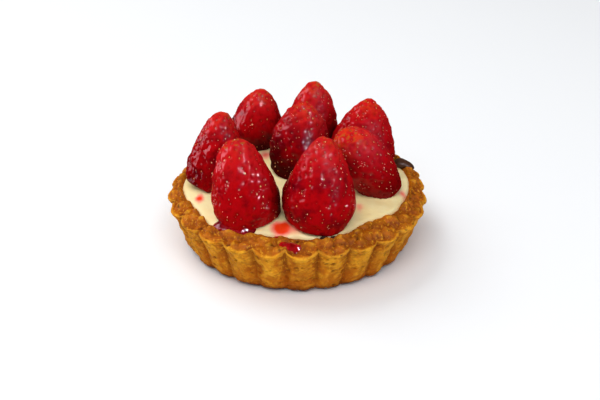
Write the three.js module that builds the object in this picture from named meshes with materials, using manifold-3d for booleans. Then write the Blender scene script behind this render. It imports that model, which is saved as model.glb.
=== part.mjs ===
import * as THREE from 'three';
import { mergeVertices } from 'three/addons/utils/BufferGeometryUtils.js';
import Module from 'manifold-3d';

// A strawberry tart: a fluted pastry case filled with custard cream, eight whole hulled strawberries
// standing on it point up, and a dab of chocolate on the rim. Lengths are millimetres, angles degrees.
// +Z is up, -Y is the front, and the origin is the middle of the flat underside.
// A turn is the angle round the tart from the front, growing towards the right.

// Pastry case
const RIM_RADIUS = 50; // to the tips of the flutes
const LIP_HEIGHT = 18.6;
const CREST_HEIGHT = 22; // of the rim beside the cream
const BASE_RADIUS = 40.6;
const FLUTES = 26;
const FLUTE_TURN = -0.8; // of the middle of the front flute, before the flutes wander
const FLUTE_WANDER = 2.8; // how far the flutes are drawn round at WANDER_TURN, and back opposite
const WANDER_TURN = 23;
const FLUTE_DEPTH = 2.4;
const FLUTE_POWER = 0.65; // below 1 the ridges are broader and the valleys between them narrower
const LIP_CLIMB = 2.4; // how much higher the lip is in the valleys than on the ridges, where it droops
const CLIMB_SWAY = 0.38; // share of that climb that comes and goes four times round the rim
const FLOOR_THICKNESS = 4.5;
const STEPS_PER_FLUTE = 8;
const CRAG_HEIGHT = 0.45; // of the lumps on the rim
const CRAG_SIZE = 3.2;
const RIM_WARP = 0.5; // the lip is this much higher at WARP_TURN and lower opposite
const WARP_TURN = -40;
// Places where the rim swelled in the oven: turn, spread, how far outwards and how far upwards.
const SWELLINGS = [[108, 7.5, 1.7, 0.8], [118.5, 6, 0.5, 2.2]];

// Cream
const CREAM_TOP = 24.6;
const CREAM_FALL = 3; // from its top to its edge
const CREAM_REACH = 43;
const CREAM_CENTRE_Y = 2.5;
const CREAM_COLUMNS = 104;
// How far the cream reaches, as [turn, radius], in order round the tart.
const CREAM_EDGE = [
  [-180, 44.3], [-92, 44.3], [-62, 41.5], [-42, 43.3], [-15, 38.6], [-2, 38.8],
  [14, 40.5], [40, 37.8], [67, 41.3], [107, 44.2], [180, 44.3],
];

// Strawberries
const BERRY_COLUMNS = 24;
const BERRY_ROWS = 12;
const BERRY_SINK = 1.2; // how deep the cut end is pressed into the cream
const CLEARANCE = 0.35; // between pieces that touch
// foot: where the middle of the cut end stands; width and height: over all; lean: to the right and
// to the back; bow: how far the point swings to the right; belly: how far up the widest place is;
// cut: width of the cut end beside the belly; shoulder and point: how late and how bluntly it narrows.
const BERRIES = [
  {
    name: 'strawberry_left', foot: [-33, 1], width: 21.4, height: 28.4, lean: [15, 6], bow: -2.4,
    belly: 0.2, cut: 0.93, shoulder: 1.2, point: 2.15, lobes: 3, lobeTurn: 20,
  },
  {
    name: 'strawberry_back_left', foot: [-17.6, 34], width: 21, height: 25, lean: [5, 0], bow: 1,
    belly: 0.36, cut: 0.52, shoulder: 1.4, point: 1.8, lobes: 4, lobeTurn: 50,
  },
  {
    name: 'strawberry_back', foot: [5.2, 31], width: 21.6, height: 28.8, lean: [2, 0], bow: 0.8,
    belly: 0.29, cut: 0.7, shoulder: 1.35, point: 1.8, lobes: 3, lobeTurn: 80,
  },
  {
    name: 'strawberry_middle', foot: [-1.5, 6.5], width: 22.4, height: 29.2, lean: [13, 0], bow: -1.6,
    belly: 0.44, cut: 0.69, shoulder: 1.45, point: 1.75, lobes: 4, lobeTurn: 10,
  },
  {
    name: 'strawberry_back_right', foot: [25.4, 17.5], width: 26.2, height: 27.6, lean: [6, -1], bow: 0,
    belly: 0.25, cut: 0.72, shoulder: 1.35, point: 1.5, lobes: 3, lobeTurn: 35,
  },
  {
    name: 'strawberry_front_left', foot: [-17.8, -24.6], width: 24.8, height: 30.6, lean: [-8, -2],
    bow: 0, belly: 0.2, cut: 0.86, shoulder: 1.35, point: 2.1, lobes: 4, lobeTurn: 65,
  },
  {
    name: 'strawberry_front_right', foot: [7.1, -28.4], width: 26.8, height: 32.6, lean: [7, 0.5],
    bow: -1.4, belly: 0.25, cut: 0.76, shoulder: 1.1, point: 1.75, lobes: 3, lobeTurn: 15,
  },
  {
    name: 'strawberry_right', foot: [32.3, -5], width: 18.4, height: 30.2, lean: [-24, -9.5],
    bow: -3.4, belly: 0.5, cut: 0.78, shoulder: 2.2, point: 2.3, lobes: 3, lobeTurn: 55,
  },
];
const LOBE_DEPTH = 0.022; // of a strawberry's radius
const DENT_DEPTH = 0.014;
const BELLY_SOFTNESS = 0.14; // share of the height over which the belly is rounded

// Chocolate
const DAB_CENTRE = [42.6, 16.9];
const DAB_HEIGHT = 22.9; // of its middle
const DAB_SIZE = [8.4, 6.4, 3.4]; // along, across and up
const DAB_TURN = -12; // of its length, from the right towards the back
const DAB_SHOULDER = 45.6; // radius beyond which it runs down over the rim
const DAB_SLOPE = 0.45; // how steeply it runs down there

const radians = THREE.MathUtils.degToRad;
const wasm = await Module();
wasm.setup();

function mix(a, b, share) {
  return a + (b - a) * share;
}

function smooth(share) {
  return share * share * (3 - 2 * share);
}

// Even random number from 0 to 1 for a whole-numbered place, the same on each run.
function chance(x, y, z) {
  const wave = Math.sin(x * 127.1 + y * 311.7 + z * 74.7) * 43758.5453;
  return wave - Math.floor(wave);
}

// Smooth lumps from -1 to 1 at a place in space.
function lumps(x, y, z) {
  const [ix, iy, iz] = [Math.floor(x), Math.floor(y), Math.floor(z)];
  const [sx, sy, sz] = [smooth(x - ix), smooth(y - iy), smooth(z - iz)];
  const row = (dy, dz) => mix(chance(ix, iy + dy, iz + dz), chance(ix + 1, iy + dy, iz + dz), sx);
  return 2 * mix(mix(row(0, 0), row(1, 0), sy), mix(row(0, 1), row(1, 1), sy), sz) - 1;
}

// Radius to the edge of the cream at a turn in radians.
function creamEdge(turn) {
  const degrees = THREE.MathUtils.euclideanModulo(THREE.MathUtils.radToDeg(turn) + 180, 360) - 180;
  const next = CREAM_EDGE.findIndex(([at]) => at > degrees);
  const [from, to] = [CREAM_EDGE[next - 1], CREAM_EDGE[next]];
  return mix(from[1], to[1], smooth((degrees - from[0]) / (to[0] - from[0])));
}

// Height of the cream's domed top.
function creamTop(x, y) {
  const dome = (x / CREAM_REACH) ** 2 + ((y - CREAM_CENTRE_Y) / CREAM_REACH) ** 2;
  return CREAM_TOP - CREAM_FALL * dome;
}

// Point at a radius, turn and height.
function around(radius, turn, height) {
  return [radius * Math.sin(turn), -radius * Math.cos(turn), height];
}

// Closed round body: a lathe makes the skin from pole to pole, and place(row, turn) sets its points.
function roundBody(rows, columns, place) {
  const profile = Array.from({ length: rows }, (_, row) => {
    return new THREE.Vector2(Math.sin((Math.PI * row) / (rows - 1)), row);
  });
  const skin = new THREE.LatheGeometry(profile, columns);
  skin.deleteAttribute('normal');
  skin.deleteAttribute('uv');
  const points = skin.attributes.position;
  for (let i = 0; i < points.count; i += 1) {
    const column = Math.floor(i / rows) % columns;
    points.setXYZ(i, ...place(i % rows, (2 * Math.PI * column) / columns));
  }
  return mergeVertices(skin, 1e-4);
}

function solidOf(geometry) {
  const mesh = new wasm.Mesh({
    numProp: 3,
    vertProperties: new Float32Array(geometry.attributes.position.array),
    triVerts: new Uint32Array(geometry.index.array),
  });
  return new wasm.Manifold(mesh);
}

function geometryOf(solid) {
  const mesh = solid.getMesh();
  const geometry = new THREE.BufferGeometry();
  geometry.setAttribute('position', new THREE.BufferAttribute(mesh.vertProperties, 3));
  geometry.setIndex(new THREE.BufferAttribute(mesh.triVerts, 1));
  return geometry;
}

// How far a flute dips at a turn: 0 on its rounded ridge, 1 in the sharp valley beside it.
function fluteDip(turn) {
  const wander = FLUTE_WANDER * Math.cos(turn - radians(WANDER_TURN));
  const wave = Math.abs(Math.cos((FLUTES * (turn - radians(FLUTE_TURN + wander))) / 2));
  return 1 - wave ** FLUTE_POWER;
}

// How far the swellings reach outwards (2) or upwards (3) at a turn.
function swelling(turn, which) {
  return SWELLINGS.reduce((sum, place) => {
    const away = (turn - radians(place[0])) / radians(place[1]);
    return sum + place[which] * Math.exp(-away * away);
  }, 0);
}

// The crust's section at a turn, from the middle of the underside up the outside, over the rim and down
// the inside: radius, height, share of the flutes' depth, share of the lumps and share of the lip's climb.
function crustSection(turn) {
  const edge = creamEdge(turn);
  const out = swelling(turn, 2);
  const up = swelling(turn, 3);
  const lip = LIP_HEIGHT + RIM_WARP * Math.cos(turn - radians(WARP_TURN));
  const crest = CREST_HEIGHT + RIM_WARP * 0.4 * Math.cos(turn - radians(WARP_TURN));
  const rim = RIM_RADIUS + out;
  const wallTop = RIM_RADIUS - 1.7 + 0.6 * out;
  const climb = 1 - CLIMB_SWAY + CLIMB_SWAY * Math.cos(4 * turn);
  return [
    [0, 0, 0, 0, 0],
    [BASE_RADIUS - 2.2, 0, 0.5, 0, 0],
    [BASE_RADIUS + 1.6, 1.5, 0.7, 0, 0],
    [BASE_RADIUS + 3.8, 5, 0.85, 0.4, 0],
    [mix(BASE_RADIUS + 3.8, wallTop, 0.55), 10.5, 0.95, 0.4, 0],
    [wallTop, lip - 2.8, 1, 0.3, 0.4 * climb],
    [rim, lip - 0.9, 1, 0.3, climb],
    [rim - 0.2, lip + 0.7, 1, 0.4, 0.9 * climb],
    [rim - 1.8, lip + 2 + 0.5 * up, 0.8, 0.9, 0.25 * climb],
    [mix(rim - 1.8, edge, 0.5), mix(lip + 2, crest, 0.6) + up, 0.25, 1, 0],
    [edge + 1.1, crest + up, 0, 0.8, 0],
    [edge, crest - 0.9, 0, 0, 0],
    [edge - 4.5, FLOOR_THICKNESS, 0, 0, 0],
    [0, FLOOR_THICKNESS, 0, 0, 0],
  ];
}

// Fluted shortcrust shell with a craggy sloping rim and a flat underside.
function pastryCase() {
  const rows = crustSection(0).length;
  const geometry = roundBody(rows, FLUTES * STEPS_PER_FLUTE, (row, turn) => {
    const [radius, height, fluted, craggy, climb] = crustSection(turn)[row];
    const dip = fluteDip(turn);
    const [x, y, z] = around(radius - FLUTE_DEPTH * fluted * dip, turn, height + LIP_CLIMB * climb * dip);
    const lump = CRAG_HEIGHT * craggy * lumps(x / CRAG_SIZE, y / CRAG_SIZE, z / CRAG_SIZE);
    const wall = craggy < 0.5 ? 1 : 0;
    const outward = around(lump * wall, turn, lump * (1 - wall));
    return [x + outward[0], y + outward[1], z + outward[2]];
  });
  return solidOf(geometry);
}

// Custard that fills the case to `gap` from its wall, with a low dome and a rounded edge, before the
// strawberries are let in.
function creamBody(gap) {
  const floor = FLOOR_THICKNESS + CLEARANCE;
  const rings = [0.85, 0.66, 0.44, 0.2];
  const rows = rings.length + 6;
  const geometry = roundBody(rows, CREAM_COLUMNS, (row, turn) => {
    const edge = creamEdge(turn) - gap;
    const onTop = (radius, below) => {
      const [x, y] = around(radius, turn, 0);
      return [x, y, creamTop(x, y) - below];
    };
    if (row === 0) return [0, 0, floor];
    if (row === 1) return around(edge - 4.7, turn, floor);
    if (row === 2) return around(edge, turn, CREST_HEIGHT - 1.1);
    if (row === 3) return onTop(edge - 0.2, 0.25);
    if (row === 4) return onTop(edge - 1.4, 0);
    if (row === rows - 1) return [0, 0, creamTop(0, 0)];
    return onTop(edge * rings[row - 5], 0);
  });
  return solidOf(geometry);
}

// Radius of a strawberry at a share of its height, as a share of its widest: a round foot and a cone.
function berryOutline(berry, share) {
  if (share < berry.belly) {
    const below = (berry.belly - Math.max(0, share)) / berry.belly;
    return berry.cut + (1 - berry.cut) * Math.sqrt(1 - below * below);
  }
  const above = Math.min(1, (share - berry.belly) / (1 - berry.belly));
  return (1 - above ** berry.shoulder) ** (1 / berry.point);
}

// The same radius with the crease between foot and cone softened.
function berryRadius(berry, share) {
  const reach = BELLY_SOFTNESS * (1 - share);
  const shares = [-1, -0.5, 0, 0.5, 1].map((step) => share + step * reach);
  return shares.reduce((sum, at) => sum + berryOutline(berry, at), 0) / shares.length;
}

// One strawberry, hulled flat and stood point up, swollen by `swell` where room is cut for it.
function berryBody(berry, swell) {
  const [footX, footY] = berry.foot;
  const [leanX, leanY] = berry.lean.map((angle) => Math.tan(radians(angle)));
  const axis = new THREE.Vector3(leanX, leanY, 1).normalize();
  const sideways = new THREE.Vector3(0, 1, 0).cross(axis).normalize();
  const backways = axis.clone().cross(sideways);
  const foot = new THREE.Vector3(footX, footY, creamTop(footX, footY));
  return roundBody(BERRY_ROWS, BERRY_COLUMNS, (row, turn) => {
    const climb = Math.max(0, row - 2) / (BERRY_ROWS - 3);
    const share = row < 2 ? 0 : Math.sin((Math.PI / 2) * climb) ** 1.15;
    const sunk = row < 2 ? BERRY_SINK + swell : 0;
    const tip = row === BERRY_ROWS - 1;
    const along = share * berry.height - sunk + (tip ? swell : 0);
    const lobe = LOBE_DEPTH * Math.cos(berry.lobes * (turn - radians(berry.lobeTurn)));
    const dent = DENT_DEPTH * Math.cos(2 * turn + 7 * share + berry.lobeTurn);
    const round = (berry.width / 2) * berryRadius(berry, share) * (1 + lobe + dent);
    const squeezed = row === 1 ? 0.86 : 1;
    const radius = row === 0 || tip ? 0 : round * squeezed + swell;
    const point = foot.clone().addScaledVector(axis, along);
    point.addScaledVector(sideways, berry.bow * share * share + radius * Math.sin(turn));
    point.addScaledVector(backways, -radius * Math.cos(turn));
    return point.toArray();
  });
}

// Dab of set chocolate that lies across the rim and follows the crust and cream under it.
function chocolateDab(under) {
  const [length, width, height] = DAB_SIZE;
  const direction = radians(DAB_TURN);
  const rows = 9;
  const lump = roundBody(rows, 20, (row, turn) => {
    const rise = -Math.cos((Math.PI * row) / (rows - 1));
    const reach = Math.sqrt(1 - rise * rise);
    const along = (length / 2) * reach * Math.sin(turn);
    const across = (-width / 2) * reach * Math.cos(turn);
    const x = DAB_CENTRE[0] + along * Math.cos(direction) - across * Math.sin(direction);
    const y = DAB_CENTRE[1] + along * Math.sin(direction) + across * Math.cos(direction);
    const run = DAB_SLOPE * Math.max(0, Math.hypot(x, y) - DAB_SHOULDER);
    return [x, y, DAB_HEIGHT + (height / 2) * rise - run];
  });
  return solidOf(lump).subtract(under.translate([0, 0, CLEARANCE]));
}

// Named piece with its own finish.
function piece(name, geometry, color, roughness) {
  const material = new THREE.MeshStandardMaterial({ color, roughness, metalness: 0 });
  const mesh = new THREE.Mesh(geometry, material);
  mesh.name = name;
  return mesh;
}

const tart = new THREE.Group();
tart.name = 'strawberry_tart';

const crust = pastryCase();
const hollows = BERRIES.map((berry) => solidOf(berryBody(berry, CLEARANCE)));
const cream = hollows.reduce((rest, hollow) => rest.subtract(hollow), creamBody(CLEARANCE));
const dab = chocolateDab(crust.add(creamBody(-CLEARANCE)));
tart.add(piece('pastry_case', geometryOf(crust), 0xc08448, 0.75));
tart.add(piece('cream_filling', geometryOf(cream), 0xf0dcae, 0.45));
BERRIES.forEach((berry) => tart.add(piece(berry.name, berryBody(berry, 0), 0xa8121c, 0.15)));
tart.add(piece('chocolate_dab', geometryOf(dab), 0x3a2016, 0.3));

export default tart;
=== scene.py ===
import math

import bpy
import numpy as np
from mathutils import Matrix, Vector
from mathutils.bvhtree import BVHTree
from mathutils.kdtree import KDTree


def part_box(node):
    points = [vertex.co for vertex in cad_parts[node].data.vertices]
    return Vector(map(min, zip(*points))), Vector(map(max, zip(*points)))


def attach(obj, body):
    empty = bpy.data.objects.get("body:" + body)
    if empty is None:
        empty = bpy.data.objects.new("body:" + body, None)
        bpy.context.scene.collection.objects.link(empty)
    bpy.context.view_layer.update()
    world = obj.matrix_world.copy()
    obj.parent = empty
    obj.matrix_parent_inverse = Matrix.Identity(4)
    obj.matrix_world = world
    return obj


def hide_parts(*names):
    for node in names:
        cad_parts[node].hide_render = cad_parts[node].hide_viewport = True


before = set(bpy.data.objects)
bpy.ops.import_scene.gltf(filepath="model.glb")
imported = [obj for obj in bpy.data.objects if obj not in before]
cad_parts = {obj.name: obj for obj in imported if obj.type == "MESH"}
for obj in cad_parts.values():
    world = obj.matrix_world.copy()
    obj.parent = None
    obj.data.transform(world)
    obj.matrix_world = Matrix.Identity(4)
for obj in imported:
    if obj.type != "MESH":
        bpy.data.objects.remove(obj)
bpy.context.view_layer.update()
mm = 0.001


# The view is a short telephoto from a little above the table, straight at the front of the tart.
aim = Vector((0, 0, 19.2 * mm))
camera_rise = math.radians(28.3)
camera_distance = 400 * mm
camera = bpy.data.objects.new("camera", bpy.data.cameras.new("camera"))
camera.location = aim + camera_distance * Vector((0, -math.cos(camera_rise), math.sin(camera_rise)))
camera.rotation_euler = (math.pi / 2 - camera_rise, 0, 0)
camera.data.sensor_width = 36
camera.data.lens = 61.8
camera.data.shift_x = 0.0043
camera.data.shift_y = -0.015
camera.data.clip_start = 0.01
bpy.context.scene.collection.objects.link(camera)
bpy.context.scene.camera = camera
bpy.context.scene.view_settings.view_transform = "Standard"


# The table is a wide sheet of smooth white card, matt enough to take soft shadows.
def put(tree, kind, inputs=(), **settings):
    """Adds a node, sets its settings and feeds its inputs with sockets or plain values."""
    node = tree.nodes.new(kind)
    for name, value in settings.items():
        setattr(node, name, value)
    for name, value in dict(inputs).items():
        if isinstance(value, bpy.types.NodeSocket):
            tree.links.new(value, node.inputs[name])
        else:
            node.inputs[name].default_value = value
    return node


def new_material(name):
    """An empty material: its node tree, its Principled shader and the material itself."""
    material = bpy.data.materials.new(name)
    material.use_nodes = True
    shader = material.node_tree.nodes["Principled BSDF"]
    return material.node_tree, shader, material


def set_inputs(shader, values):
    """Sets plain numbers and colours on the shader's own sockets."""
    for name, value in values.items():
        shader.inputs[name].default_value = value


def add_object(name, mesh, material):
    """A smooth object of a mesh, in the scene. A mesh that has its material is given None."""
    thing = bpy.data.objects.new(name, mesh)
    bpy.context.scene.collection.objects.link(thing)
    if material is not None and not mesh.materials:
        mesh.materials.append(material)
    mesh.shade_smooth()
    return thing


card_size = 3.0
_, card_shader, card_white = new_material("white card")
set_inputs(card_shader, {
    "Base Color": (0.88, 0.9, 0.925, 1), "Roughness": 0.7, "Specular IOR Level": 0.2})
card_mesh = bpy.data.meshes.new("table")
card_corners = [(x * card_size, y * card_size, 0) for x, y in ((-1, -1), (1, -1), (1, 1), (-1, 1))]
card_mesh.from_pydata(card_corners, [], [(0, 1, 2, 3)])
table = add_object("table", card_mesh, card_white)
table.visible_glossy = False


# The light is a broad soft window high at the left and a wide fill from above the front. The glaze
# mirrors neither: it mirrors a low pink window at the left as a sheen, and two small windows as
# sparkle. The room glows faintly all round.
def softbox(name, turn, rise, distance, size, power, colour):
    """A rectangular light at a turn from the front and a rise above the table, facing the tart."""
    light = bpy.data.lights.new(name, "AREA")
    light.shape = "RECTANGLE"
    light.size, light.size_y = size
    light.energy = power
    light.color = colour
    lamp = bpy.data.objects.new(name, light)
    turn, rise = math.radians(turn), math.radians(rise)
    outward = Vector((
        math.sin(turn) * math.cos(rise), -math.cos(turn) * math.cos(rise), math.sin(rise)))
    lamp.location = aim + outward * distance
    lamp.rotation_euler = outward.to_track_quat("Z", "Y").to_euler()
    bpy.context.scene.collection.objects.link(lamp)
    return lamp


key = softbox("key window", turn=-122, rise=52, distance=1.1, size=(0.9, 0.7), power=6.3,
              colour=(1, 0.98, 0.95))
fill = softbox("fill", turn=-2, rise=56, distance=1.3, size=(1.3, 0.8), power=11.2,
               colour=(1, 1, 1))
key.visible_glossy = False
fill.visible_glossy = False
sheen = softbox("left window", turn=-100, rise=14, distance=0.9, size=(0.5, 0.7), power=9,
                colour=(1, 0.72, 0.82))
sheen.visible_diffuse = False
for name, turn, rise, size, power in (
        ("right window", 42, 17, (0.08, 0.11), 7.0), ("top window", 14, 64, (0.08, 0.1), 5.5)):
    sparkle = softbox(name, turn, rise, distance=0.8, size=size, power=power,
                      colour=(0.92, 0.9, 1))
    sparkle.visible_diffuse = False

room = bpy.data.worlds.new("room")
room.use_nodes = True
room_tree = room.node_tree
glow = room_tree.nodes["Background"]
glow.inputs["Color"].default_value = (0.98, 0.985, 1, 1)
room_glow = 0.39
mirrored_glow = 0.04
mirrored = put(room_tree, "ShaderNodeLightPath").outputs["Is Glossy Ray"]
strength = put(room_tree, "ShaderNodeMapRange", {
    "Value": mirrored, "To Min": room_glow, "To Max": mirrored_glow}).outputs[0]
room_tree.links.new(strength, glow.inputs["Strength"])
bpy.context.scene.world = room


# The case is shortcrust baked in a fluted tin: a plain dish section is turned round, then a node
# tree presses the flutes into it and raises the crumb of the dough, with its lumps, pores and
# creases.
rim_radius = (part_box("pastry_case")[1].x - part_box("pastry_case")[0].x) / 2 + 0.18 * mm
base_radius = 40.6 * mm
lip_height = 18.6 * mm
crest_height = 22 * mm
floor_thickness = 4.5 * mm
rim_warp = 0.5 * mm
warp_turn = math.radians(-40)
# How far the lip climbs between two flutes, as a share: its middle, its sway, and how many times it
# sways round the tart.
climb_middle, climb_sway, climb_waves = 0.62, 0.38, 4
# Places where the rim swelled in the oven: turn and spread in degrees, how far outwards and upwards
# in mm.
swellings = [(108, 7.5, 1.7, 0.8), (118.5, 6, 0.5, 2.2)]
flutes = 26
steps_per_flute = 28
# How far the cream reaches: turns in degrees, in order round the tart, and radii there in mm.
cream_edge_turns = [-180, -92, -62, -42, -15, -2, 14, 40, 67, 107, 180]
cream_edge_radii = [44.3, 44.3, 41.5, 43.3, 38.6, 38.8, 40.5, 37.8, 41.3, 44.2, 44.3]


def cream_edge(turn):
    """Radius to the edge of the cream at turns in radians."""
    degrees = (np.degrees(turn) + 180) % 360 - 180
    turns = np.array(cream_edge_turns, float)
    radii = np.array(cream_edge_radii) * mm
    here = np.clip(np.searchsorted(turns, degrees, side="right") - 1, 0, len(turns) - 2)
    share = (degrees - turns[here]) / (turns[here + 1] - turns[here])
    share = share * share * (3 - 2 * share)
    return radii[here] + (radii[here + 1] - radii[here]) * share


def crust_section(turn):
    """Corners of the crust's section at each turn, from the middle of the underside up the outside,
    over the rim and down the inside: radius, height, and shares of flutes, lumps, lip, rim top and
    climb."""
    edge = cream_edge(turn)
    level = np.ones_like(turn)
    climb = climb_middle + climb_sway * np.cos(climb_waves * turn)
    warp = np.cos(turn - warp_turn)
    lip = lip_height + rim_warp * warp
    crest = crest_height + 0.4 * rim_warp * warp
    out, up = 0 * turn, 0 * turn
    for place, spread, outwards, upwards in swellings:
        swell = np.exp(-((turn - math.radians(place)) / math.radians(spread)) ** 2)
        out, up = out + outwards * mm * swell, up + upwards * mm * swell
    rim = rim_radius + out
    wall_top = rim_radius - 1.4 * mm + 0.6 * out
    brow = rim - 2.3 * mm
    corners = [
        (0 * level, 0 * level, 0, 0, 0, 0, 0),
        ((base_radius - 2.2 * mm) * level, 0 * level, 0.5, 0, 0, 0, 0),
        ((base_radius + 0.2 * mm) * level, 0.25 * mm * level, 0.62, 0.3, 0, 0, 0),
        ((base_radius + 2.2 * mm) * level, 1.8 * mm * level, 0.75, 0.8, 0, 0, 0),
        ((base_radius + 3.9 * mm) * level, 5 * mm * level, 0.87, 0.7, 0, 0, 0),
        (wall_top * level, lip - 2.0 * mm, 1, 0.6, 0, 0, 0.5 * climb),
        (rim - 0.7 * mm, lip - 1.15 * mm, 1, 0.3, 0.3, 0, 0.8 * climb),
        (rim - 0.05 * mm, lip - 0.55 * mm, 1, 0.35, 0.8, 0, 0.95 * climb),
        (rim, lip + 0.05 * mm, 1, 0.35, 1, 0, climb),
        (rim - 0.45 * mm, lip + 0.45 * mm, 1, 0.4, 1, 0.2, climb),
        (rim - 1.3 * mm, lip + 0.65 * mm, 0.95, 0.5, 0.3, 0.7, 0.8 * climb),
        (brow, lip + 1.4 * mm + 0.5 * up, 0.75, 0.9, 0, 1, 0.5 * climb),
        (brow + 0.5 * (edge - brow), lip + 2 * mm + 0.6 * (crest - lip - 1.8 * mm) + up,
         0.25, 1, 0, 1, 0),
        (edge + 1.3 * mm, crest + up, 0, 0.8, 0, 1, 0),
        (edge + 0.3 * mm, crest - 0.7 * mm, 0, 0.3, 0, 0.8, 0),
        (edge - 0.5 * mm, crest - 2.5 * mm, 0, 0, 0, 0, 0),
        (edge - 0.9 * mm, crest - 4 * mm, 0, 0, 0, 0, 0),
        (edge - 4.5 * mm, floor_thickness * level, 0, 0, 0, 0, 0),
        (0 * level, floor_thickness * level, 0, 0, 0, 0, 0),
    ]
    return np.array([[part * level for part in corner] for corner in corners])


def closed_grid(name, rings, attributes):
    """A closed body from rings of points, whose first and last rings are single points, with a
    number for every point in each named attribute."""
    count, columns = rings.shape[:2]
    points = np.vstack([rings[0, :1], rings[1:-1].reshape(-1, 3), rings[-1, :1]])
    ring = np.arange(columns)
    after = np.roll(ring, -1)
    last = 1 + (count - 2) * columns
    faces = [(0, 1 + b, 1 + a) for a, b in zip(ring, after)]
    for row in range(count - 3):
        low, high = 1 + row * columns, 1 + (row + 1) * columns
        faces += [(low + a, low + b, high + b, high + a) for a, b in zip(ring, after)]
    top = 1 + (count - 3) * columns
    faces += [(top + a, top + b, last) for a, b in zip(ring, after)]
    mesh = bpy.data.meshes.new(name)
    mesh.from_pydata(points.tolist(), [], faces)
    for label, values in attributes.items():
        flat = np.concatenate([values[0, :1].ravel(), values[1:-1].ravel(), values[-1, :1].ravel()])
        layer = mesh.attributes.new(label, "FLOAT", "POINT")
        layer.data.foreach_set("value", flat.astype(np.float32))
    return mesh


def crust_dish():
    """The case as a plain dish without its flutes, each stretch of its section in fine steps."""
    turn = np.arange(flutes * steps_per_flute) * 2 * np.pi / (flutes * steps_per_flute)
    corners = crust_section(turn)
    steps = [2, 3, 4, 8, 30, 3, 3, 3, 3, 4, 5, 12, 12, 4, 3, 2, 2, 1]
    rows = []
    for here, count in enumerate(steps):
        for step in range(count):
            rows.append(corners[here] + (corners[here + 1] - corners[here]) * step / count)
    rows = np.array(rows + [corners[-1]])
    soft = slice(steps[0] + 2, len(rows) - 6)
    for _ in range(3):
        rounded = rows.copy()
        rounded[1:-1] = 0.25 * rows[:-2] + 0.5 * rows[1:-1] + 0.25 * rows[2:]
        rows[soft] = rounded[soft]
    radius, height = rows[:, 0], rows[:, 1]
    points = np.stack([radius * np.sin(turn), -radius * np.cos(turn), height], axis=-1)
    labels = ("fluted", "craggy", "lip", "top", "climb")
    return closed_grid("crust", points, {label: rows[:, 2 + i] for i, label in enumerate(labels)})


def maths(tree, operation, *values):
    """A Math node's result. The same node serves geometry and materials."""
    return put(tree, "ShaderNodeMath", enumerate(values), operation=operation).outputs[0]


def product(tree, *values):
    """All the values multiplied together, from the first on."""
    total = values[0]
    for value in values[1:]:
        total = maths(tree, "MULTIPLY", total, value)
    return total


def vector_maths(tree, operation, *values):
    """A Vector Math node's result."""
    node = put(tree, "ShaderNodeVectorMath", operation=operation)
    sockets = [node.inputs[0], node.inputs["Scale"]] if operation == "SCALE" else node.inputs
    for socket, value in zip(sockets, values):
        if isinstance(value, bpy.types.NodeSocket):
            tree.links.new(value, socket)
        else:
            socket.default_value = value
    return node.outputs["Value" if operation in ("LENGTH", "DISTANCE", "DOT_PRODUCT") else "Vector"]


def ramp(tree, value, start, end):
    """0 up to `start`, 1 from `end`, and smooth between them. They may be in either order."""
    inputs = {"Value": value, "From Min": start, "From Max": end}
    return put(tree, "ShaderNodeMapRange", inputs, interpolation_type="SMOOTHSTEP").outputs[0]


def new_geometry_tree(name, numbers, others):
    """A node tree that takes and gives geometry, with named numbers and other inputs by kind."""
    tree = bpy.data.node_groups.new(name, "GeometryNodeTree")
    tree.interface.new_socket("Geometry", in_out="INPUT", socket_type="NodeSocketGeometry")
    for label, kind in (dict.fromkeys(numbers, "Float") | others).items():
        tree.interface.new_socket(label, in_out="INPUT", socket_type="NodeSocket" + kind)
    tree.interface.new_socket("Geometry", in_out="OUTPUT", socket_type="NodeSocketGeometry")
    return tree, tree.nodes.new("NodeGroupInput").outputs


def finish_geometry_tree(tree, geometry, material):
    """Makes every copy real, coats the whole and gives it out."""
    real = put(tree, "GeometryNodeRealizeInstances", {"Geometry": geometry}).outputs[0]
    coated = put(tree, "GeometryNodeSetMaterial", {"Geometry": real, "Material": material})
    tree.links.new(coated.outputs[0], tree.nodes.new("NodeGroupOutput").inputs[0])


def grown(name, mesh, tree, values):
    """The plain mesh that a node tree makes of a mesh, with the tree's named inputs set."""
    source = bpy.data.objects.new(name, mesh)
    bpy.context.scene.collection.objects.link(source)
    modifier = source.modifiers.new(name, "NODES")
    modifier.node_group = tree
    for item in tree.interface.items_tree:
        if item.in_out == "INPUT" and item.name in values:
            modifier[item.identifier] = values[item.name]
    graph = bpy.context.evaluated_depsgraph_get()
    result = bpy.data.meshes.new_from_object(
        source.evaluated_get(graph), preserve_all_data_layers=True, depsgraph=graph)
    source.modifiers.remove(modifier)
    bpy.data.objects.remove(source)
    return result


def attribute(tree, name, kind="FLOAT"):
    """What the mesh carries at every point under a name."""
    inputs = {"Name": name}
    return put(tree, "GeometryNodeInputNamedAttribute", inputs, data_type=kind).outputs[0]


def stored(tree, geometry, name, value, domain="POINT"):
    """The geometry with a number stored on it under a name."""
    inputs = {"Geometry": geometry, "Name": name, "Value": value}
    return put(tree, "GeometryNodeStoreNamedAttribute", inputs, data_type="FLOAT",
               domain=domain).outputs[0]


def swayed(tree, place, scale, reach):
    """A place pushed about by soft noise, so that a pattern's cells lose their straight edges."""
    sway = put(tree, "ShaderNodeTexNoise", {"Vector": place, "Scale": scale, "Detail": 2.0})
    push = vector_maths(tree, "SCALE", sway.outputs["Color"], reach)
    return vector_maths(tree, "ADD", place, push)


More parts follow.
